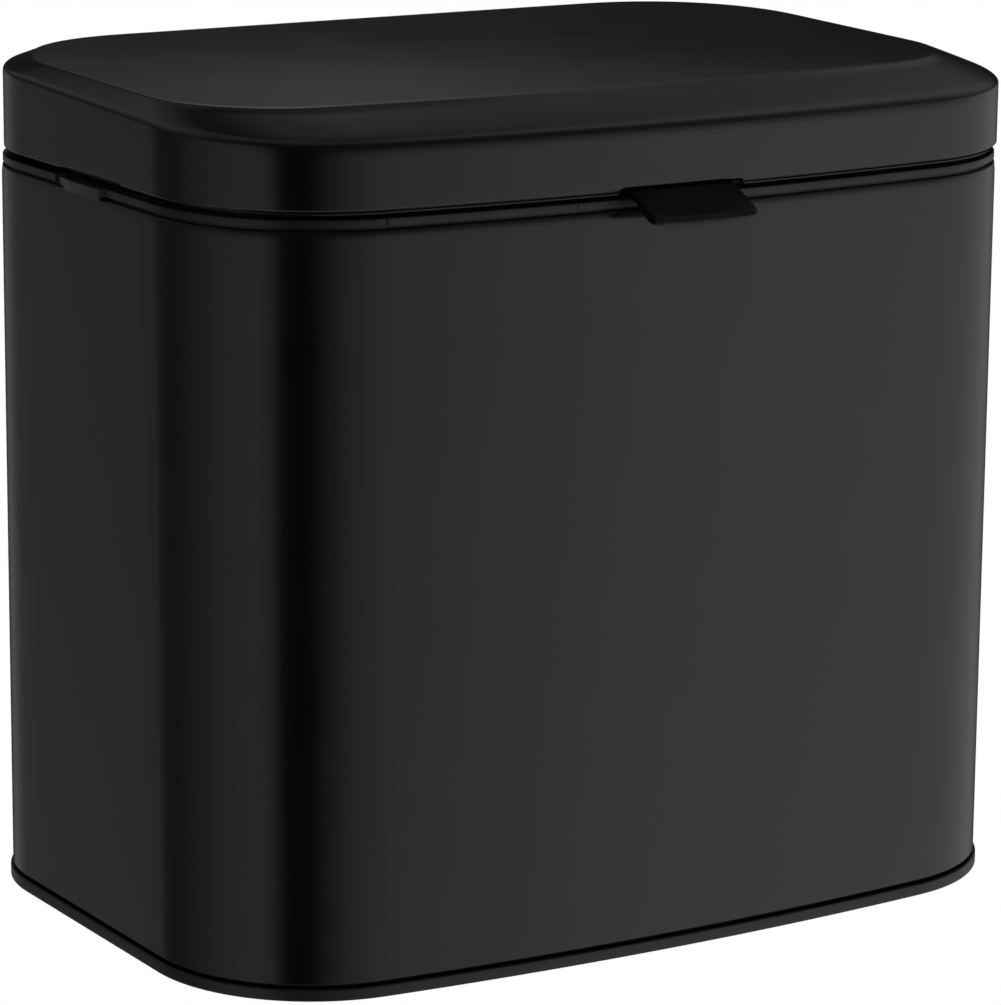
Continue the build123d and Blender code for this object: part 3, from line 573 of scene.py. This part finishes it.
# Lid liner and soft stops
# A black plastic tray lines the lid. A bead on its lower edge shows as a hairline under the
# steel's front, it is open along the hinge side, and two bosses in it carry rubber stops.
liner_side, liner_wall, liner_back_in = 0.0009, 0.0012, 0.0032
liner_low, liner_plate_low, liner_plate_high = 0.20975, 0.2225, 0.2240
bead_in, bead_top, bead_beside = 0.0001, 0.2103, 0.025
plate_reach, open_back_y = 0.02, -0.0240
bead_fade_from, bead_fade = -0.165, 0.015
least_lift, tray_lift = 0.0001, 3
tray = rounded([(liner_side + plate_reach, liner_plate_high), (liner_side, liner_plate_high),
                (liner_side, bead_top), (bead_in, bead_top), (bead_in, liner_low),
                (liner_side + liner_wall, liner_low), (liner_side + liner_wall, liner_plate_low),
                (liner_side + plate_reach, liner_plate_low)],
               [0.0001, 0.0006, 0.0001, 0.0002, 0.0002, 0.0003, 0.0010, 0.0001])
# The bead stands out from the tray in front only, and the tray's edge draws back into the
# steel round the front corners and over the tab and the lugs
side_in = np.where(tray[:, 0] < liner_side,
                   liner_side - bead_beside * (liner_side - tray[:, 0]), tray[:, 0])
xs, ys = footprint(side_in, front=tray[:, 0], front_radius=front_corner - side_in,
                   back=np.maximum(tray[:, 0] - liner_side, 0) + liner_back_in,
                   bow_at=lid_bow_at, back_at=lid_back_at, side_at=lid_side_at)
grid = raised(xs, ys, tray[:, 1])
grid = closed_ends(grid)
front_share = np.clip((bead_fade_from - grid[:, :, 1]) / bead_fade, 0, 1)
lowest = edge_z - (lid_edge - liner_low) * front_share
lift = edge_lift(grid)
lowest = lowest + (edge_z - lowest) * (lift > least_lift)
grid[:, :, 2] = np.maximum(grid[:, :, 2], lowest + tray_lift * lift)
open_back = (np.abs(grid[:, :, 0]) < back_straight_half - hair) & (grid[:, :, 1] > open_back_y)
grid[:, :, 2] = np.where(open_back, np.maximum(grid[:, :, 2], underside_z + liner_plate_low),
                         grid[:, :, 2])
lid_liner = skin("lid_liner_tray", grid, plastic, "lid")
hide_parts("lid_liner")


def turned(name, profile, x, y, material, body, steps=32):
    """Turned piece: (radius, height) points spun round an upright axis through x, y."""
    profile = np.asarray(profile, float)
    angle = np.linspace(0.0, 2 * pi, steps, endpoint=False)[None, :]
    radius, height = profile[:, 0][:, None], profile[:, 1][:, None] + 0 * angle
    flat = [radius * np.cos(angle) + x, radius * np.sin(angle) + y, height]
    return skin(name, np.stack(flat, 2), material, body)


# A stop stands under the tray, its middle 8.7 mm inside the bowed front
stop_x, stop_in = 0.075, 0.0087
stop_y = (front_y + stop_in + (bow_radius - stop_in)
          - sqrt((bow_radius - stop_in) ** 2 - stop_x ** 2))
boss_end, boss_foot = underside_z + 0.2135, underside_z + liner_plate_low
boss_profile = [(0.0, boss_end), (0.0026, boss_end), (0.0030, underside_z + 0.2139),
                (0.0032, underside_z + 0.2215), (0.0042, boss_foot), (0.0, boss_foot)]
for side, word in ((-1, "left"), (1, "right")):
    turned("liner_boss_" + word, boss_profile, side * stop_x, stop_y, plastic,
           "lid")

rubber = finish("black_rubber", 0.7, 0.4, (220.0, 4.0),
                ((0.010, 0.010, 0.010), (0.018, 0.018, 0.019)), (300.0, 3.0),
                (0.62, 0.80), (3200.0, 2.0), 0.3, 0.00004)
paint("lid_buffers", rubber)
paint("wall_bumpers", rubber)

# Finger tab
# One black moulding, screwed inside the lid. Its lip reaches 13 mm out from the lid's front,
# falls 6.2 mm to a tip 2.8 mm high with an arched lower edge, and a finger lifts the lid by it.
tab_half, tab_reach, tab_drop = 0.0160, 0.0130, 0.0062
tab_root_y, tab_flange_y, tab_flange_in_y = -0.1893, -0.1866, -0.1844
tab_under, tab_top, tab_flange_high = 0.2091, 0.2109, 0.2181
lip_height, lip_arch, tab_belly, tab_dish = 0.0028, 0.0014, 0.0012, 0.0006
tab_corner, tab_edge, tip_round, tab_flange_edge = 0.0020, 0.0005, 0.0012, 0.0003
matt_black = finish("black_tab_plastic", 0.36, 0.35, (120.0, 3.0),
                    ((0.0022, 0.0022, 0.0023), (0.0036, 0.0036, 0.0037)), (160.0, 3.0),
                    (0.33, 0.40), (2600.0, 2.0), 0.2, 0.00003)


def upper_side(across, v):
    """Height of the lip's upper side at the share v of the full reach.

    It falls evenly by the drop and is dished by 4v(1-v)(1-across^2) of the dish.
    """
    return tab_top - tab_drop * v - 4 * tab_dish * v * (1 - v) * (1 - across ** 2)


def under_side(across, v):
    """Height of its underside: an even fall with a belly of 4v(1-v), cut off by the arch."""
    tip = tab_top - tab_drop - lip_height
    belly = tab_under + (tip - tab_under) * v - 4 * tab_belly * v * (1 - v)
    return np.maximum(belly, tip + lip_arch * across ** 2)


def quadratic(a, b, c, steps):
    """Points of the curve (1-t)^2 a + 2t(1-t) b + t^2 c for every row of a, b and c."""
    t = np.linspace(0.0, 1.0, steps)[None, :]
    return (1 - t) ** 2 * a + 2 * t * (1 - t) * b + t ** 2 * c


corner_turn = np.linspace(0.0, pi / 2, 17)
corner_x = tab_half - tab_corner + tab_corner * np.cos(corner_turn)
corner_reach = tab_reach - tab_corner + tab_corner * np.sin(corner_turn)
flat_x = np.linspace(-1.0, 1.0, 41)[1:-1] * (tab_half - tab_corner)
x = np.concatenate([-corner_x, flat_x, corner_x[::-1]])[:, None]
reach = np.concatenate([corner_reach, tab_reach + 0 * flat_x, corner_reach[::-1]])[:, None]
across = x / tab_half
outward = np.linspace(0.0, 1.0, 15)[None, :] * (reach - tip_round) / tab_reach
tip_share = reach / tab_reach
top_out, top_tip = upper_side(across, outward), upper_side(across, tip_share)
low_out, low_tip = under_side(across, outward), under_side(across, tip_share)
face = np.minimum((top_tip - low_tip) / 2, tip_round)
near = reach - tip_round
loop_reach = np.concatenate([
    0 * x + tab_root_y - tab_flange_y, outward * tab_reach, quadratic(near, reach, reach, 6),
    quadratic(reach, reach, near, 6), outward[:, ::-1] * tab_reach,
    0 * x + tab_root_y - tab_flange_y], 1)
loop_height = np.concatenate([
    0 * x + tab_top, top_out, quadratic(top_out[:, -1:], top_tip, top_tip - face, 6),
    quadratic(low_tip + face, low_tip, low_out[:, -1:], 6), low_out[:, ::-1],
    0 * x + tab_under], 1)
# The sides' edges are rounded: the section shrinks towards its middle line near each end
least_keep = 0.3
depth_in = np.clip((tab_half - np.abs(x)) / tab_edge, 0, 1)
shrink = tab_edge * (1 - np.sqrt(1 - (1 - depth_in) ** 2))
middle_height = (loop_height + loop_height[:, ::-1]) / 2
half_thick = np.abs(loop_height - loop_height[:, ::-1]) / 2
keep = np.clip(1 - shrink / np.maximum(half_thick, 1e-6), least_keep, 1)
loop_height = middle_height + (loop_height - middle_height) * keep
grid = np.stack([x + 0 * loop_reach, tab_root_y - loop_reach, underside_z + loop_height], 2)
ends = [grid[i:i + 1] * [1, 0, 0] + grid[i:i + 1].mean(1, keepdims=True) * [0, 1, 1]
        for i in (0, len(grid) - 1)]
tab_lip = skin("finger_tab_lip", np.concatenate([ends[0], grid, ends[1]]), matt_black,
               "lid", sharp=50)
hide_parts("finger_tab")
slab("finger_tab_flange",
     [(tab_flange_y, underside_z + tab_under), (tab_flange_y, underside_z + tab_flange_high),
      (tab_flange_in_y, underside_z + tab_flange_high),
      (tab_flange_in_y, underside_z + tab_under)],
     -tab_half, tab_half, 0, matt_black, "lid", tab_flange_edge)
paint("tab_screws", zinc)

# Hinges, hanger and stand-offs
# Two moulded posts on the collar carry steel pins that the lid's ears turn on. The steel hanger
# is riveted to the body's back, and two rubber cones keep the bin parallel to the wall.
for name in ("hinge_posts", "lid_hinge_ears"):
    paint(name, plastic)
for name in ("hinge_post_screws", "lid_hinge_screws", "hinge_pins", "hanger_bracket",
             "hanger_rivets"):
    paint(name, zinc)

# Studio and camera
# Soft boxes all round with a dark gap behind the camera, as the gloss of the photographed bin
# shows them. The camera and matt surfaces see plain white, and the floor lies well below,
# because the bin hangs on its wall.
floor_z, floor_middle_y = -0.86, -0.1
fade_from, fade_to = 0.35, 0.85
floor_radii = np.array([0.0, 0.2, 0.4, 0.6, 0.8, 0.9])
world = bpy.data.worlds.new("studio")
bpy.context.scene.world = world
world.use_nodes = True
sky_nodes, sky_links = world.node_tree.nodes, world.node_tree.links
sky_nodes.clear()
where = sky_nodes.new("ShaderNodeTexCoord")
axes = sky_nodes.new("ShaderNodeSeparateXYZ")
sky_links.new(where.outputs["Generated"], axes.inputs[0])
flip = sky_nodes.new("ShaderNodeMath")
flip.operation = "MULTIPLY"
flip.inputs[1].default_value = -1.0
sky_links.new(axes.outputs["Y"], flip.inputs[0])
bearing = sky_nodes.new("ShaderNodeMath")
bearing.operation = "ARCTAN2"
sky_links.new(axes.outputs["X"], bearing.inputs[0])
sky_links.new(flip.outputs[0], bearing.inputs[1])
dial = sky_nodes.new("ShaderNodeMapRange")
dial.inputs["From Min"].default_value = -pi
dial.inputs["From Max"].default_value = pi
sky_links.new(bearing.outputs[0], dial.inputs["Value"])


def grey_ramp(source, stops):
    """Colour ramp of greys over (place, level) stops, places from 0 to 1."""
    ramp = sky_nodes.new("ShaderNodeValToRGB")
    elements = ramp.color_ramp.elements
    elements[0].position, elements[1].position = stops[0][0], stops[-1][0]
    for place, _ in stops[1:-1]:
        elements.new(place)
    for element, (_, level) in zip(elements, stops):
        element.color = (level, level, level, 1.0)
    sky_links.new(source, ramp.inputs["Fac"])
    return ramp.outputs["Color"]


def around(stops):
    """Greys by bearing: (degrees, level) stops, 0 in front of the bin and + to its right."""
    return grey_ramp(dial.outputs["Result"], [((turn + 180) / 360, level) for turn, level in stops])


def blend_up(below, above, start, end):
    """One ring of the studio going over into the next between two heights on the unit sphere."""
    climb = sky_nodes.new("ShaderNodeMapRange")
    climb.inputs["From Min"].default_value = start
    climb.inputs["From Max"].default_value = end
    sky_links.new(axes.outputs["Z"], climb.inputs["Value"])
    mix = sky_nodes.new("ShaderNodeMix")
    mix.data_type = "RGBA"
    sky_links.new(climb.outputs["Result"], mix.inputs["Factor"])
    sky_links.new(below, mix.inputs["A"])
    sky_links.new(above, mix.inputs["B"])
    return mix.outputs["Result"]


# Rings of soft boxes and dark gaps: level with the bin and below, at eye level, above, high up
# and overhead
boxes = around([(-180, 0.25), (-155, 0.20), (-147, 0.072), (-128, 0.083), (-84, 0.40), (-60, 0.46),
                (-48, 0.01), (-31, 0.01), (-5, 0.36), (19, 0.54), (33, 0.84), (52, 0.86),
                (110, 0.41), (135, 0.03), (165, 0.03), (180, 0.25)])
eye_level = around([(-180, 0.06), (-150, 0.08), (-100, 0.12), (-60, 0.05), (0, 0.03), (30, 0.05),
                    (60, 0.15), (100, 0.14), (130, 0.01), (141, 0.01), (152, 0.02), (160, 0.02),
                    (180, 0.06)])
above = around([(-180, 0.20), (-168, 0.13), (-140, 0.12), (-90, 0.06), (0, 0.05), (30, 0.07),
                (60, 0.22), (110, 0.22), (130, 0.18), (136, 0.15), (141, 0.085), (147, 0.18),
                (151, 0.45), (154, 0.37), (158, 0.02), (170, 0.02), (176, 0.17), (180, 0.20)])
high = around([(-180, 0.22), (-140, 0.22), (-90, 0.08), (0, 0.05), (30, 0.07), (60, 0.22),
               (110, 0.23), (134, 0.26), (138, 0.18), (142, 0.085), (146, 0.08), (152, 0.09),
               (157, 0.03), (161, 0.02), (166, 0.10), (172, 0.16), (180, 0.22)])
overhead = around([(-180, 0.18), (-90, 0.08), (0, 0.04), (60, 0.10), (100, 0.07), (125, 0.10),
                   (150, 0.18), (180, 0.18)])
studio = blend_up(boxes, eye_level, -0.05, 0.10)
studio = blend_up(studio, above, 0.195, 0.34)
studio = blend_up(studio, high, 0.39, 0.48)
studio = blend_up(studio, overhead, 0.72, 0.85)
studio_light = sky_nodes.new("ShaderNodeBackground")
sky_links.new(studio, studio_light.inputs["Color"])
white = sky_nodes.new("ShaderNodeBackground")
white.inputs["Color"].default_value = (1, 1, 1, 1)
rays = sky_nodes.new("ShaderNodeLightPath")
choose = sky_nodes.new("ShaderNodeMixShader")
plainly = sky_nodes.new("ShaderNodeMath")
plainly.operation = "MAXIMUM"
sky_links.new(rays.outputs["Is Camera Ray"], plainly.inputs[0])
sky_links.new(rays.outputs["Is Diffuse Ray"], plainly.inputs[1])
sky_links.new(plainly.outputs[0], choose.inputs["Fac"])
sky_links.new(studio_light.outputs[0], choose.inputs[1])
sky_links.new(white.outputs[0], choose.inputs[2])
output = sky_nodes.new("ShaderNodeOutputWorld")
sky_links.new(choose.outputs[0], output.inputs["Surface"])

# Floor: a pale disc 0.7 m under the bin, fading into the white
ring_turn = np.linspace(0.0, 2 * pi, 65)[:-1]
disc = np.stack([np.cos(ring_turn), np.sin(ring_turn)], 1)
plan = floor_radii[:, None, None] * disc[None]
grid = np.concatenate([plan + [0.0, floor_middle_y], np.full((*plan.shape[:2], 1), floor_z)], 2)
floor_mesh = bpy.data.meshes.new("floor")
index = np.arange(grid.shape[0] * grid.shape[1]).reshape(grid.shape[:2])
faces = np.stack([index[:-1], index[1:], np.roll(index[1:], -1, 1), np.roll(index[:-1], -1, 1)],
                 2).reshape(-1, 4)
floor_mesh.from_pydata(grid.reshape(-1, 3).tolist(), [], faces.tolist())
floor = bpy.data.objects.new("floor", floor_mesh)
bpy.context.scene.collection.objects.link(floor)
pale = bpy.data.materials.new("pale_floor")
pale.use_nodes = True
floor_nodes, floor_links = pale.node_tree.nodes, pale.node_tree.links
base = floor_nodes["Principled BSDF"]
base.inputs["Base Color"].default_value = (0.85, 0.85, 0.85, 1)
base.inputs["Roughness"].default_value = 0.7
base.inputs["Specular IOR Level"].default_value = 0.2
plain = floor_nodes.new("ShaderNodeEmission")
plain.inputs["Color"].default_value = (1, 1, 1, 1)
distance = floor_nodes.new("ShaderNodeVectorMath")
distance.operation = "LENGTH"
spot_map = floor_nodes.new("ShaderNodeMapping")
spot_map.inputs["Location"].default_value = (0, -floor_middle_y, -floor_z)
spot_at = floor_nodes.new("ShaderNodeTexCoord")
floor_links.new(spot_at.outputs["Object"], spot_map.inputs["Vector"])
floor_links.new(spot_map.outputs["Vector"], distance.inputs[0])
fade = floor_nodes.new("ShaderNodeMapRange")
fade.interpolation_type = "SMOOTHSTEP"
fade.inputs["From Min"].default_value = fade_from
fade.inputs["From Max"].default_value = fade_to
floor_links.new(distance.outputs["Value"], fade.inputs["Value"])
seen = floor_nodes.new("ShaderNodeLightPath")
both = floor_nodes.new("ShaderNodeMath")
both.operation = "MULTIPLY"
floor_links.new(fade.outputs["Result"], both.inputs[0])
floor_links.new(seen.outputs["Is Camera Ray"], both.inputs[1])
join = floor_nodes.new("ShaderNodeMixShader")
floor_links.new(both.outputs[0], join.inputs["Fac"])
floor_links.new(base.outputs[0], join.inputs[1])
floor_links.new(plain.outputs[0], join.inputs[2])
floor_links.new(join.outputs[0], floor_nodes["Material Output"].inputs["Surface"])
floor_mesh.materials.append(pale)

# Camera: 31 degrees to the left of the front and 13 above, with a long lens
azimuth, elevation, roll_angle = radians(-31.445), radians(13.064), radians(0.462)
camera_distance, aim_right, aim_height = 1.31469, -0.00164, 0.10742
focal_pixels, photo_long_side = 4625.19, 1005
away = Vector((sin(azimuth) * cos(elevation), -cos(azimuth) * cos(elevation), sin(elevation)))
level_right = (-away).cross(Vector((0, 0, 1))).normalized()
level_up = level_right.cross(-away)
right_axis = level_right * cos(roll_angle) + level_up * sin(roll_angle)
up_axis = -level_right * sin(roll_angle) + level_up * cos(roll_angle)
target = level_right * aim_right + Vector((0, middle_y, underside_z + aim_height))
lens = bpy.data.cameras.new("camera")
lens.sensor_width = 36.0
lens.lens = focal_pixels * lens.sensor_width / photo_long_side
camera = bpy.data.objects.new("camera", lens)
bpy.context.scene.collection.objects.link(camera)
turn_matrix = Matrix((right_axis, up_axis, away)).transposed().to_4x4()
camera.matrix_world = Matrix.Translation(target + away * camera_distance) @ turn_matrix
bpy.context.scene.camera = camera
bpy.context.scene.view_settings.view_transform = "Standard"
